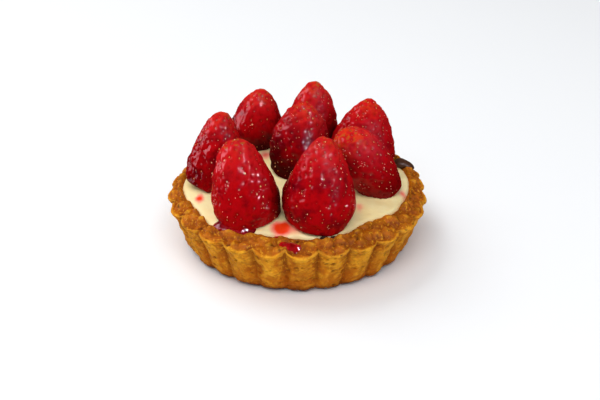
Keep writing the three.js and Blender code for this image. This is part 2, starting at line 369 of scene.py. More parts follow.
def crust_tree():
    """Presses flutes into the plain dish and raises lumps, pores and creases on it."""
    tree, given = new_geometry_tree("fluted crust", (
        "Flutes", "First Flute", "Wander", "Wander Turn", "Flute Depth", "Flute Power", "Lip Climb",
        "Valley Drop", "Lump Height", "Lump Size", "Crumb Height", "Pore Depth", "Pore Size",
        "Seed"), {"Crust": "Material"})
    position = tree.nodes.new("GeometryNodeInputPosition").outputs[0]
    x, y, _ = put(tree, "ShaderNodeSeparateXYZ", {0: position}).outputs
    turn = maths(tree, "ARCTAN2", x, product(tree, y, -1.0))
    wander = maths(tree, "COSINE", maths(tree, "SUBTRACT", turn, given["Wander Turn"]))
    first = maths(tree, "ADD", given["First Flute"], product(tree, wander, given["Wander"]))
    round_way = product(tree, maths(tree, "SUBTRACT", turn, first), given["Flutes"])
    wave = maths(tree, "ABSOLUTE", maths(tree, "COSINE", product(tree, round_way, 0.5)))
    wave = maths(tree, "POWER", wave, given["Flute Power"])
    whole_dip = maths(tree, "SUBTRACT", 1.0, wave)
    dip = product(tree, whole_dip, attribute(tree, "fluted"))
    geometry = stored(tree, given["Geometry"], "dip", dip)
    top = attribute(tree, "top")
    climb = product(tree, whole_dip, attribute(tree, "climb"), given["Lip Climb"])
    fall = product(tree, dip, top, given["Valley Drop"])
    depth = product(tree, dip, given["Flute Depth"])
    press = put(tree, "ShaderNodeCombineXYZ", {
        "X": product(tree, maths(tree, "SINE", turn), product(tree, depth, -1.0)),
        "Y": product(tree, maths(tree, "COSINE", turn), depth),
        "Z": maths(tree, "SUBTRACT", climb, fall)}).outputs[0]
    geometry = put(tree, "GeometryNodeSetPosition", {
        "Geometry": geometry, "Offset": press}).outputs[0]

    offset = put(tree, "ShaderNodeCombineXYZ", {axis: given["Seed"] for axis in "XYZ"})
    place = vector_maths(tree, "ADD", position, offset.outputs[0])
    craggy = attribute(tree, "craggy")
    by_lump = vector_maths(tree, "SCALE", place, maths(tree, "DIVIDE", 1.0, given["Lump Size"]))
    cobbles = put(tree, "ShaderNodeTexVoronoi", {
        "Vector": swayed(tree, by_lump, 1.1, 0.7), "Scale": 0.9, "Smoothness": 0.25},
        feature="SMOOTH_F1").outputs
    dome = maths(tree, "SUBTRACT", 0.75, product(tree, cobbles["Distance"], 1.6))
    soft = put(tree, "ShaderNodeTexNoise", {"Vector": by_lump, "Scale": 0.8, "Detail": 2.0})
    soft = product(tree, maths(tree, "SUBTRACT", soft.outputs[0], 0.5), 2.4)
    dome = product(tree, dome, maths(tree, "MULTIPLY_ADD", top, 1.7, 0.4))
    rise = product(tree, maths(tree, "ADD", soft, dome), craggy)
    geometry = stored(tree, geometry, "rise", rise)
    tone = put(tree, "ShaderNodeSeparateXYZ", {0: cobbles["Color"]}).outputs[0]
    geometry = stored(tree, geometry, "tone", tone)
    crumb = put(tree, "ShaderNodeTexNoise", {
        "Vector": by_lump, "Scale": 3.2, "Detail": 3.0, "Roughness": 0.7}).outputs[0]
    crumb = product(tree, maths(tree, "SUBTRACT", crumb, 0.5), maths(tree, "ADD", craggy, 0.15))

    flat_place = vector_maths(tree, "MULTIPLY", place, (1, 1, 1.7))
    by_pore = vector_maths(
        tree, "SCALE", flat_place, maths(tree, "DIVIDE", 1.0, given["Pore Size"]))
    cells = put(tree, "ShaderNodeTexVoronoi", {
        "Vector": swayed(tree, by_pore, 1.3, 1.1), "Scale": 1.0}).outputs
    chance = put(tree, "ShaderNodeSeparateXYZ", {0: cells["Color"]}).outputs[0]
    pore = product(tree, ramp(tree, cells["Distance"], 0.45, 0.1), ramp(tree, chance, 0.5, 0.8))
    crack = put(tree, "ShaderNodeTexNoise", {
        "Vector": by_pore, "Scale": 0.3, "Detail": 4.0, "Distortion": 0.6}).outputs[0]
    crack = maths(tree, "ABSOLUTE", maths(tree, "SUBTRACT", crack, 0.5))
    pit = maths(tree, "MAXIMUM", pore, product(tree, ramp(tree, crack, 0.02, 0.0), 0.35))
    pit = product(tree, pit, ramp(tree, craggy, 0.05, 0.4))
    geometry = stored(tree, geometry, "pit", pit)

    height = product(tree, rise, given["Lump Height"])
    height = maths(tree, "ADD", height, product(tree, crumb, given["Crumb Height"]))
    height = maths(tree, "SUBTRACT", height, product(tree, pit, given["Pore Depth"]))
    normal = tree.nodes.new("GeometryNodeInputNormal").outputs[0]
    geometry = put(tree, "GeometryNodeSetPosition", {
        "Geometry": geometry, "Offset": vector_maths(tree, "SCALE", normal, height)}).outputs[0]
    finish_geometry_tree(tree, geometry, given["Crust"])
    return tree


def mixed(tree, factor, first, second):
    """The second colour over the first, by a factor."""
    node = put(tree, "ShaderNodeMix", {0: factor, 6: first, 7: second}, data_type="RGBA")
    return node.outputs[2]


def layered(tree, colour, layers):
    """A colour under thin layers of others: the colour, strength and mask of each."""
    for tint, strength, mask in layers:
        colour = mixed(tree, product(tree, mask, strength), colour, tint)
    return colour


def mottle_group():
    """Shared blotches: a mask from 0 to 1 out of soft noise, by size, level, edge and seed."""
    tree = bpy.data.node_groups.new("mottle", "ShaderNodeTree")
    for label in ("Size", "Level", "Edge", "Seed"):
        tree.interface.new_socket(label, in_out="INPUT", socket_type="NodeSocketFloat")
    tree.interface.new_socket("Mask", in_out="OUTPUT", socket_type="NodeSocketFloat")
    given = tree.nodes.new("NodeGroupInput").outputs
    place = put(tree, "ShaderNodeTexCoord").outputs["Object"]
    noise = put(tree, "ShaderNodeTexNoise", {
        "Vector": place, "W": given["Seed"], "Scale": maths(tree, "DIVIDE", 1.0, given["Size"]),
        "Detail": 3.0, "Roughness": 0.55}, noise_dimensions="4D").outputs[0]
    low = maths(tree, "SUBTRACT", given["Level"], given["Edge"])
    high = maths(tree, "ADD", given["Level"], given["Edge"])
    output = tree.nodes.new("NodeGroupOutput")
    tree.links.new(ramp(tree, noise, low, high), output.inputs["Mask"])
    return tree


mottle_tree = mottle_group()


def mottle(tree, size, level, edge, seed):
    """Blotches of about a size: 1 where the noise is above the level, with a soft edge."""
    inputs = {"Size": size, "Level": level, "Edge": edge, "Seed": seed}
    return put(tree, "ShaderNodeGroup", inputs, node_tree=mottle_tree).outputs["Mask"]


def point_value(tree, name):
    """A number that the mesh carries at every point."""
    return put(tree, "ShaderNodeAttribute", attribute_name=name).outputs["Fac"]


def bumped(tree, shader, height, strength, distance):
    """Raises the surface a little where the height mask is up."""
    bump = put(tree, "ShaderNodeBump", {
        "Height": height, "Strength": strength, "Distance": distance})
    tree.links.new(bump.outputs[0], shader.inputs["Normal"])


def crust_material():
    """Baked dough: golden, browner on top and singed in places at the foot. Painted highlight pales
    the flute ridges, lump tops and lip edge; painted shade darkens the flute valleys, the hollows
    between lumps, the pits and a band by the cream.
    """
    tree, shader, material = new_material("baked shortcrust")
    golden = (0.68, 0.255, 0.010, 1)
    amber = (0.52, 0.148, 0.004, 1)
    brown = (0.25, 0.054, 0.003, 1)
    pale = (0.84, 0.400, 0.022, 1)
    rosy = (0.50, 0.130, 0.012, 1)
    shade_olive = (0.30, 0.088, 0.003, 1)
    rust = (0.40, 0.088, 0.002, 1)
    crown = (0.34, 0.070, 0.001, 1)
    burnt = (0.14, 0.022, 0.002, 1)
    dark = (0.085, 0.018, 0.002, 1)
    top, rise, dip, lip, tone, pit = (
        point_value(tree, name) for name in ("top", "rise", "dip", "lip", "tone", "pit"))
    place = put(tree, "ShaderNodeTexCoord").outputs["Object"]
    height = put(tree, "ShaderNodeSeparateXYZ", {0: place}).outputs[2]
    wall = maths(tree, "SUBTRACT", 1.0, ramp(tree, top, 0.0, 0.3))
    # Painted highlight on the flute ridges and the lip edge; painted shade in a band by the cream.
    ridge_highlight = product(tree, wall, ramp(tree, dip, 0.22, 0.0))
    cream_side_shade = product(tree, ramp(tree, top, 0.9, 1.0), ramp(tree, dip, 0.05, 0.0))
    rosy_lump = product(tree, top, ramp(tree, tone, 0.45, 0.6))
    lip_highlight = product(tree, ramp(tree, lip, 0.6, 1.0), mottle(tree, 5 * mm, 0.47, 0.1, 25.0))
    low = product(
        tree, ramp(tree, height, 17 * mm, 7 * mm), mottle(tree, 4.5 * mm, 0.5, 0.07, 31.0))
    singed = product(
        tree, ramp(tree, height, 4.2 * mm, 0.6 * mm), mottle(tree, 5 * mm, 0.47, 0.08, 21.0))
    colour = mixed(tree, mottle(tree, 5 * mm, 0.5, 0.14, 0.0), golden, amber)
    # Painted highlight on lump tops; painted shade in flute valleys, hollows and pits.
    colour = layered(tree, colour, (
        (brown, 0.5, mottle(tree, 3 * mm, 0.53, 0.06, 12.0)),
        (pale, 0.6, mottle(tree, 3.6 * mm, 0.52, 0.06, 17.0)),
        (crown, 0.82, ramp(tree, top, 0.0, 0.8)),
        (pale, 0.35, ridge_highlight),
        (shade_olive, 0.6, cream_side_shade),
        (rosy, 0.6, rosy_lump),
        (brown, 0.8, ramp(tree, dip, 0.2, 0.8)),
        (pale, 0.45, ramp(tree, rise, 0.3, 1.1)),
        (brown, 0.75, ramp(tree, rise, 0.0, -0.5)),
        (pale, 0.4, lip_highlight),
        (amber, 0.5, mottle(tree, 1.3 * mm, 0.58, 0.07, 5.0)),
        (pale, 0.5, mottle(tree, 1.0 * mm, 0.6, 0.05, 9.0)),
        (dark, 0.9, pit),
        (amber, 0.4, ramp(tree, height, 10 * mm, 3 * mm)),
        (brown, 0.75, ramp(tree, height, 4 * mm, 0.8 * mm)),
        (rust, 0.6, low),
        (burnt, 0.9, singed)))
    tree.links.new(colour, shader.inputs["Base Color"])
    uneven = product(tree, mottle(tree, 2 * mm, 0.5, 0.2, 3.0), 0.35)
    tree.links.new(maths(tree, "ADD", 0.35, uneven), shader.inputs["Roughness"])
    set_inputs(shader, {
        "Specular IOR Level": 0.05, "Subsurface Weight": 0.08,
        "Subsurface Radius": (1.0, 0.4, 0.15), "Subsurface Scale": 0.6 * mm})
    bumped(tree, shader, mottle(tree, 0.5 * mm, 0.5, 0.35, 7.0), 0.6, 0.15 * mm)
    return material


crust = add_object("crust", grown("crust", crust_dish(), crust_tree(), {
    "Flutes": float(flutes), "First Flute": math.radians(-0.8), "Wander": math.radians(2.8),
    "Wander Turn": math.radians(23), "Flute Depth": 2.4 * mm, "Flute Power": 0.65,
    "Lip Climb": 2.4 * mm, "Valley Drop": 0.5 * mm, "Lump Height": 0.95 * mm,
    "Lump Size": 4.0 * mm, "Crumb Height": 0.85 * mm, "Pore Depth": 0.6 * mm,
    "Pore Size": 2.7 * mm, "Seed": 4.0, "Crust": crust_material(),
}), None)
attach(crust, "root")
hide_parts("pastry_case")


# The eight strawberries are hulled flat and stand point up in the cream. One function turns each
# skin from its own sizes, then sinks a dimple at every seed and swells the flesh between them.
berry_columns = 280
berry_rows = 190
berry_sink = 1.2 * mm
cut_edge_width = 0.86
outline_softness = 0.14
lobe_height = 0.022
dent_depth = 0.014
golden_turn = math.pi * (3 - math.sqrt(5))
lowest_seed, highest_seed = 0.02, 0.995
dimple_radius = 0.8 * mm
swell_reach, swell_height = 3.2 * mm, 0.2
skin_lump_size, skin_lump_height = 6 * mm, 0.2
skin_grain_size, skin_grain_height = 2.1 * mm, 0.07
# How near the next strawberry has to be to give this one painted shade.
neighbour_reach = 8.5 * mm
bubble_tries = 1500
bubble_crowd_size = 7 * mm
# The cream's domed top, which the strawberries stand on.
cream_top_height = 24.6 * mm
cream_fall = 3 * mm
cream_reach = 43 * mm
cream_centre_y = 2.5 * mm
# foot: where the middle of the cut end stands, in mm; width and height: in mm; lean: to the right
# and to the back, in degrees; bow: how far the point swings to the right, in mm; belly: how far up
# the widest place is; cut: width of the cut end beside the belly; shoulder and point: how late and
# how bluntly it narrows; lobes: soft bulges round it, the first at lobe_turn; seeds: how many;
# pits: how deep the dimples are, in mm; ripe: how much of the skin is crimson; tip: how orange the
# point is; foot_shade: how dark the painted shade at the foot is.
berries = {
    "strawberry_left": dict(
        foot=(-33, 1), width=21.4, height=28.4, lean=(15, 6), bow=-2.4, belly=0.2, cut=0.93,
        shoulder=1.2, point=2.15, lobes=3, lobe_turn=20, seeds=230, pits=0.34,
        ripe=0.46, tip=0.2, foot_shade=0.4),
    "strawberry_back_left": dict(
        foot=(-17.6, 34), width=21, height=25.0, lean=(5, 0), bow=1, belly=0.36, cut=0.52,
        shoulder=1.4, point=1.8, lobes=4, lobe_turn=50, seeds=170, pits=0.26,
        ripe=0.46, tip=0.3, foot_shade=0.9),
    "strawberry_back": dict(
        foot=(5.2, 31), width=21.6, height=28.8, lean=(2, 0), bow=0.8, belly=0.29, cut=0.7,
        shoulder=1.35, point=1.8, lobes=3, lobe_turn=80, seeds=220, pits=0.34,
        ripe=0.3, tip=0.4, foot_shade=0.9),
    "strawberry_middle": dict(
        foot=(-1.5, 6.5), width=22.4, height=29.2, lean=(13, 0), bow=-1.6, belly=0.44, cut=0.69,
        shoulder=1.45, point=1.75, lobes=4, lobe_turn=10, seeds=250, pits=0.36,
        ripe=0.5, tip=0.25, foot_shade=0.95),
    "strawberry_back_right": dict(
        foot=(25.4, 17.5), width=26.2, height=27.6, lean=(6, -1), bow=0, belly=0.25, cut=0.72,
        shoulder=1.35, point=1.5, lobes=3, lobe_turn=35, seeds=260, pits=0.36,
        ripe=0.35, tip=0.35, foot_shade=0.6),
    "strawberry_front_left": dict(
        foot=(-17.8, -24.6), width=24.8, height=30.6, lean=(-8, -2), bow=0, belly=0.2, cut=0.86,
        shoulder=1.35, point=2.1, lobes=4, lobe_turn=65, seeds=240, pits=0.28,
        ripe=0.35, tip=0.1, foot_shade=0.1),
    "strawberry_front_right": dict(
        foot=(7.1, -28.4), width=26.8, height=32.6, lean=(7, 0.5), bow=-1.4, belly=0.25, cut=0.76,
        shoulder=1.1, point=1.75, lobes=3, lobe_turn=15, seeds=290, pits=0.36,
        ripe=0.45, tip=0.2, foot_shade=0.15),
    "strawberry_right": dict(
        foot=(32.3, -5), width=18.4, height=30.2, lean=(-24, -9.5), bow=-3.4, belly=0.5, cut=0.78,
        shoulder=2.2, point=2.3, lobes=3, lobe_turn=55, seeds=240, pits=0.32,
        ripe=0.36, tip=0.45, foot_shade=0.6),
}


def cream_top(x, y):
    """Height of the cream's domed top."""
    dome = (x / cream_reach) ** 2 + ((y - cream_centre_y) / cream_reach) ** 2
    return cream_top_height - cream_fall * dome


def berry_outline(share, belly, cut, shoulder, point):
    """Radius at a share of the height, as a share of the widest: a round foot below a cone."""
    below = np.clip((belly - np.clip(share, 0, 1)) / belly, 0, 1)
    above = np.clip((share - belly) / (1 - belly), 0, 1)
    foot = cut + (1 - cut) * np.sqrt(1 - below ** 2)
    return np.where(share < belly, foot, (1 - above ** shoulder) ** (1 / point))


def berry_points(share, turn, sizes):
    """Points of a strawberry's skin at shares of its height and turns round it."""
    softness = outline_softness * (1 - share)
    form = [sizes[label] for label in ("belly", "cut", "shoulder", "point")]
    steps = (-1, -0.5, 0, 0.5, 1)
    outline = sum(berry_outline(share + step * softness, *form) for step in steps) / len(steps)
    lobe = lobe_height * np.cos(sizes["lobes"] * (turn - math.radians(sizes["lobe_turn"])))
    dent = dent_depth * np.cos(2 * turn + 7 * share + sizes["lobe_turn"])
    radius = sizes["width"] / 2 * mm * outline * (1 + lobe + dent)
    lean = [math.tan(math.radians(angle)) for angle in sizes["lean"]]
    axis = Vector((lean[0], lean[1], 1)).normalized()
    sideways = Vector((0, 1, 0)).cross(axis).normalized()
    backways = axis.cross(sideways)
    foot_x, foot_y = (value * mm for value in sizes["foot"])
    foot = np.array((foot_x, foot_y, cream_top(foot_x, foot_y)))
    along = share * sizes["height"] * mm
    side = sizes["bow"] * mm * share ** 2 + radius * np.sin(turn)
    back = -radius * np.cos(turn)
    return (foot + along[..., None] * np.array(axis) + side[..., None] * np.array(sideways)
            + back[..., None] * np.array(backways))


def wavy(points, size, seed):
    """Soft waves of about -1 to 1 in space, of about a size, out of a few crossing ripples."""
    random = np.random.default_rng(seed)
    total = np.zeros(points.shape[:-1])
    ripples = 9
    for _ in range(ripples):
        direction = random.normal(size=3)
        direction *= random.uniform(0.6, 1.5) / np.linalg.norm(direction)
        total += np.sin(points @ direction * 2 * np.pi / size + random.uniform(0, 2 * np.pi))
    return total / math.sqrt(ripples)


def seed_places(sizes, seed):
    """Shares and turns of the seeds: a spiral that climbs by equal area, each a little off it."""
    random = np.random.default_rng(seed)
    share = np.linspace(lowest_seed, highest_seed, 400)
    turn = np.linspace(0, 2 * np.pi, 24, endpoint=False)
    ring = berry_points(*np.meshgrid(share, turn, indexing="ij"), sizes)
    centre = ring.mean(axis=1)
    radius = np.linalg.norm(ring - centre[:, None], axis=-1).mean(axis=1)
    slope = np.hypot(np.gradient(radius), np.linalg.norm(np.gradient(centre, axis=0), axis=-1))
    area = np.cumsum(radius ** 0.9 * slope)
    wanted = (np.arange(sizes["seeds"]) + 0.5) / sizes["seeds"]
    places = np.interp(wanted * area[-1], area, share)
    turns = np.arange(sizes["seeds"]) * golden_turn
    turns = turns + random.normal(scale=0.11, size=len(turns))
    places = places + random.normal(scale=0.009, size=len(places))
    return np.clip(places, lowest_seed, highest_seed), turns


def surface_normals(rings):
    """Outward normals of rings of points that climb."""
    round_way = np.roll(rings, -1, axis=1) - np.roll(rings, 1, axis=1)
    up_way = np.gradient(rings, axis=0)
    normal = np.cross(round_way, up_way)
    length = np.linalg.norm(normal, axis=-1, keepdims=True)
    return normal / np.maximum(length, 1e-12)


# A few points of every strawberry, to tell how near it is to the others.
rough_places = np.meshgrid(np.linspace(0, 1, 16), np.linspace(0, 2 * np.pi, 32, endpoint=False))
berry_shapes = {
    name: berry_points(*rough_places, sizes).reshape(-1, 3) for name, sizes in berries.items()}


def skin_relief(points, seeds, pits, seed):
    """How far the skin stands out at each point, and how near it is to a dimple, from 0 to 1."""
    gap = np.sqrt(((points.reshape(-1, 1, 3) - seeds[None]) ** 2).sum(-1))
    order = np.partition(gap, 1, axis=1)
    nearest, second = (order[:, i].reshape(points.shape[:-1]) for i in (0, 1))
    dimple = np.exp(-(nearest / dimple_radius) ** 2)
    swell = np.clip((nearest + second) / swell_reach, 0, 1)
    relief = (swell_height * swell - pits * dimple
              + skin_lump_height * wavy(points, skin_lump_size, seed)
              + skin_grain_height * wavy(points, skin_grain_size, seed + 50))
    return relief * mm, dimple


def facings_and_climbs(places, turns, sizes):
    """Which way the skin faces at places on it, and which way it climbs there."""
    step = 1e-3
    here = berry_points(places, turns, sizes)
    climbs = berry_points(places + step, turns, sizes) - here
    rounds = berry_points(places, turns + step, sizes) - here
    facings = np.cross(rounds, climbs)
    return facings / np.linalg.norm(facings, axis=-1, keepdims=True), climbs


def bubbles(sizes, seeds, seed):
    """Places, facings and climbs of the fine bubbles in a strawberry's glaze, in loose clusters."""
    random = np.random.default_rng(seed)
    places = random.uniform(0.06, 0.97, bubble_tries)
    turns = random.uniform(0, 2 * np.pi, bubble_tries)
    crowd = wavy(berry_points(places, turns, sizes), bubble_crowd_size, seed + 30)
    kept = crowd > random.uniform(0.5, 2.9, bubble_tries)
    places, turns = places[kept], turns[kept]
    facings, climbs = facings_and_climbs(places, turns, sizes)
    points = berry_points(places, turns, sizes)
    relief, _ = skin_relief(points, seeds, sizes["pits"], seed)
    return points + facings * relief[:, None], facings, climbs


def strawberry(name, sizes, seed):
    """The skin of one strawberry, and the places, facings and climbs of its seeds and of its
    bubbles. Its points carry how near they are to a dimple, how high up they are and how close the
    next strawberry is, which the material turns into painted shade."""
    climb = np.linspace(0, 1, berry_rows)
    share = (np.sin(np.pi / 2 * climb) ** 1.15)[:, None]
    turn = (np.arange(berry_columns) * 2 * np.pi / berry_columns)[None, :]
    share, turn = np.broadcast_arrays(share, turn)
    skin = berry_points(share, turn, sizes)
    normal = surface_normals(skin)
    places, turns = seed_places(sizes, seed)
    seeds = berry_points(places, turns, sizes)
    relief, dimple = skin_relief(skin, seeds, sizes["pits"], seed)
    # Where the next strawberry comes near, the skin is marked for painted shade.
    others = KDTree(sum(len(points) for key, points in berry_shapes.items() if key != name))
    for key, points in berry_shapes.items():
        for point in points if key != name else ():
            others.insert(point, 0)
    others.balance()
    away = np.array([others.find(point)[2] for point in skin.reshape(-1, 3)]).reshape(share.shape)
    neighbour_shade = np.clip(1.25 - away / neighbour_reach, 0, 1) ** 2
    skin = skin + normal * relief[..., None]
    centre = skin[0].mean(axis=0)
    down = berry_sink * np.array((0, 0, -1.0))
    cut_edge = centre + (skin[0] - centre) * cut_edge_width + down
    cut_middle = np.broadcast_to(centre + down, cut_edge.shape)
    rings = np.concatenate([cut_middle[None], cut_edge[None], skin])
    pad = np.zeros((2, berry_columns))
    mesh = closed_grid(name, rings, {
        "dimple": np.concatenate([pad, dimple]), "share": np.concatenate([pad, share]),
        "neighbour_shade": np.concatenate([pad, neighbour_shade])})
    facings, climbs = facings_and_climbs(places, turns, sizes)
    sunk = seeds - facings * (sizes["pits"] * 0.7) * mm
    return mesh, (sunk, facings, climbs), bubbles(sizes, seeds, seed)


def berry_material(name, sizes, seed):
    """Ripe red flesh under a clear glaze: scarlet and crimson patches and orange at some points.
    Painted highlight makes it paler and pinker towards the point. Painted shade makes it nearly
    black, with less shine, at the foot and beside the next strawberry, and darker in the
    dimples."""
    tree, shader, material = new_material(name)
    scarlet = (0.42, 0.0014, 0.0036, 1)
    crimson = (0.15, 0.0004, 0.0040, 1)
    painted_top_light = (0.66, 0.012, 0.016, 1)
    orange = (0.66, 0.062, 0.004, 1)
    deep = (0.03, 0.00005, 0.0001, 1)
    unripe = (0.30, 0.15, 0.015, 1)
    share, neighbour_shade, dimple = (point_value(tree, label) for label in ("share", "neighbour_shade", "dimple"))
    patch = product(
        tree, ramp(tree, share, 0.72, 0.98), mottle(tree, 2 * mm, 0.5, 0.08, seed + 3.0))
    speck = product(
        tree, ramp(tree, share, 0.9, 0.98), mottle(tree, 1.4 * mm, 0.58, 0.04, seed + 5.0))
    # Painted shade at the foot and beside the next strawberry.
    foot = product(tree, ramp(tree, share, 0.58, 0.1), sizes["foot_shade"])
    shaded = maths(tree, "MAXIMUM", product(tree, neighbour_shade, 0.85), foot)
    colour = mixed(tree, mottle(tree, 7 * mm, sizes["ripe"], 0.14, seed), crimson, scarlet)
    colour = layered(tree, colour, (
        # Painted highlight: paler and pinker towards the point.
        (painted_top_light, 0.6, ramp(tree, share, 0.5, 0.95)),
        (orange, sizes["tip"], patch),
        (unripe, 0.6, speck),
        (deep, 1.0, shaded),
        # Painted shade in the dimples.
        (deep, 0.25, dimple)))
    tree.links.new(colour, shader.inputs["Base Color"])
    # The glaze shines less under the painted shade.
    coat = maths(tree, "SUBTRACT", 0.45, product(tree, shaded, 0.4))
    tree.links.new(coat, shader.inputs["Coat Weight"])
    set_inputs(shader, {
        "Roughness": 0.3, "Specular IOR Level": 0.0, "Subsurface Weight": 0.2,
        "Subsurface Radius": (1.0, 0.1, 0.08), "Subsurface Scale": 1.2 * mm,
        "Coat Roughness": 0.03, "Coat IOR": 1.4})
    bumped(tree, shader, mottle(tree, 0.6 * mm, 0.5, 0.4, seed + 7.0), 0.5, 0.15 * mm)
    return material


seed_sets, bubble_sets = [], []
for number, (berry_name, sizes) in enumerate(berries.items()):
    mesh, seed_set, bubble_set = strawberry(berry_name, sizes, seed=11 + number)
    material = berry_material(berry_name + "_skin", sizes, seed=3.0 * number)
    berry = add_object(berry_name + "_glazed", mesh, material)
    seed_sets.append(seed_set)
    bubble_sets.append(bubble_set)
    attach(berry, "root")
    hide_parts(berry_name)


# The seeds are small yellow to rusty drops, one in every dimple, lying along the strawberry with
# the sharp end towards its point. The glaze over them holds finer drops, its bubbles. A node tree
# sets a copy of one small drop on each place.
def small_drop_tree():
    """Copies of one small drop, of uneven size, laid along the skin at the places it is given."""
    tree, given = new_geometry_tree(
        "small drops", ("Length", "Width", "Thickness"), {"Seed": "Int", "Finish": "Material"})
    ball = put(tree, "GeometryNodeMeshUVSphere", {"Segments": 8, "Rings": 6, "Radius": 0.5})
    position = tree.nodes.new("GeometryNodeInputPosition").outputs[0]
    x, y, z = put(tree, "ShaderNodeSeparateXYZ", {0: position}).outputs
    taper = maths(tree, "SUBTRACT", 1.0, product(tree, y, 0.7))
    drop = put(tree, "ShaderNodeCombineXYZ", {
        "X": product(tree, x, taper, given["Width"]),
        "Y": product(tree, y, given["Length"]),
        "Z": product(tree, z, taper, given["Thickness"])}).outputs[0]
    drop = put(tree, "GeometryNodeSetPosition", {
        "Geometry": ball.outputs[0], "Position": drop}).outputs[0]
    facing, climb = (attribute(tree, name, "FLOAT_VECTOR") for name in ("facing", "climb"))
    upright = put(tree, "FunctionNodeAlignRotationToVector", {"Vector": facing}, axis="Z")
    laid = put(tree, "FunctionNodeAlignRotationToVector", {
        "Rotation": upright.outputs[0], "Vector": climb}, axis="Y", pivot_axis="Z").outputs[0]
    size = put(tree, "FunctionNodeRandomValue", {2: 0.4, 3: 1.05, "Seed": given["Seed"]},
               data_type="FLOAT").outputs[1]
    placed = put(tree, "GeometryNodeInstanceOnPoints", {
        "Points": given["Geometry"], "Instance": drop, "Rotation": laid, "Scale": size})
    hue = put(tree, "FunctionNodeRandomValue", {"Seed": maths(tree, "ADD", given["Seed"], 1.0)},
              data_type="FLOAT").outputs[1]
    geometry = stored(tree, placed.outputs[0], "hue", hue, domain="INSTANCE")
    finish_geometry_tree(tree, geometry, given["Finish"])
    return tree


def husk_material():
    """Dry husks under the glaze, from rust over yellow, with a few painted pale as glints."""
    tree, shader, material = new_material("seed_husk")
    yellow = (0.72, 0.21, 0.02, 1)
    rust = (0.36, 0.03, 0.006, 1)
    painted_glint = (0.95, 0.44, 0.22, 1)
    hue = point_value(tree, "hue")
    colour = mixed(tree, ramp(tree, hue, 0.45, 0.8), rust, yellow)
    # The palest seeds are painted glints.
    colour = mixed(tree, ramp(tree, hue, 0.8, 0.95), colour, painted_glint)
    tree.links.new(colour, shader.inputs["Base Color"])
    set_inputs(shader, {"Roughness": 0.4, "Coat Weight": 1.0, "Coat Roughness": 0.08})
    return material


def bubble_material():
    """Bubbles in the red glaze, coloured pale pink as painted glints."""
    _, shader, material = new_material("glaze_bubble")
    set_inputs(shader, {
        "Base Color": (1, 0.36, 0.26, 1), "Roughness": 0.2, "Coat Weight": 1.0,
        "Coat Roughness": 0.08})
    return material


def scattered(name, sets, values):
    """One copy of the small drop at every place of the sets."""
    points, facings, climbs = (np.vstack(parts) for parts in zip(*sets))
    mesh = bpy.data.meshes.new(name)
    mesh.from_pydata(points.tolist(), [], [])
    for label, vectors in (("facing", facings), ("climb", climbs)):
        layer = mesh.attributes.new(label, "FLOAT_VECTOR", "POINT")
        layer.data.foreach_set("vector", vectors.astype(np.float32).ravel())
    thing = add_object(name, grown(name, mesh, small_drop, values), None)
    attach(thing, "root")


small_drop = small_drop_tree()
scattered("strawberry_seeds", seed_sets, {
    "Length": 0.8 * mm, "Width": 0.52 * mm, "Thickness": 0.4 * mm, "Seed": 3,
    "Finish": husk_material()})
scattered("glaze_bubbles", bubble_sets, {
    "Length": 0.4 * mm, "Width": 0.36 * mm, "Thickness": 0.3 * mm, "Seed": 5,
    "Finish": bubble_material()})


# The cream is a set custard spread nearly level in the case. It swells a little where the
# strawberries are pressed in, rounds over at its edge and has taken red stains from the juice.
cream_columns = 360
cream_rows = 100
cream_border = 1.6 * mm
cream_drop = 1.1 * mm
cream_skirt = 2.5 * mm
broad_wave_size, broad_wave_height = 9 * mm, 0.16 * mm
fine_wave_size, fine_wave_height = 3 * mm, 0.05 * mm
foot_swell, foot_swell_reach = 0.5 * mm, 1.5 * mm


def berry_feet():
    """Centre and radius of every strawberry where it enters the cream."""
    ring = np.linspace(0, 2 * np.pi, 48, endpoint=False)
    feet = []
    for sizes in berries.values():
        foot = berry_points(0.03 + 0 * ring, ring, sizes)
        middle = foot.mean(axis=0)
        feet.append((middle[:2], np.linalg.norm(foot[:, :2] - middle[:2], axis=1).mean()))
    return feet


def cream_mesh():
    """The cream from its middle out to its rounded edge, closed underneath."""
    turn = (np.arange(cream_columns) * 2 * np.pi / cream_columns)[None, :]
    share = np.linspace(0, 1, cream_rows)[:, None] ** 0.8
    edge = cream_edge(turn) + 0.15 * mm
    radius = edge * share
    x, y = radius * np.sin(turn), -radius * np.cos(turn)
    z = cream_top(x, y)
    flat = np.stack([x, y, 0 * x], axis=-1)
    z = z + broad_wave_height * wavy(flat, broad_wave_size, 5)
    z = z + fine_wave_height * wavy(flat, fine_wave_size, 6)
    for middle, size in berry_feet():
        gap = np.hypot(x - middle[0], y - middle[1]) - size
        z = z + foot_swell * np.exp(-(np.maximum(gap, 0) / foot_swell_reach) ** 2)
    border = np.clip((edge - radius) / cream_border, 0, 1)
    z = z - cream_drop * (1 - np.sqrt(1 - (1 - border) ** 2))
    top = np.stack([x, y, z], axis=-1)
    skirt = top[-1].copy()
    skirt[:, 2] -= cream_skirt
    floor = np.zeros_like(skirt)
    floor[:, 2] = skirt[:, 2].mean()
    rings = np.concatenate([floor[None], skirt[None], top[::-1]])
    return closed_grid("cream", rings, {})


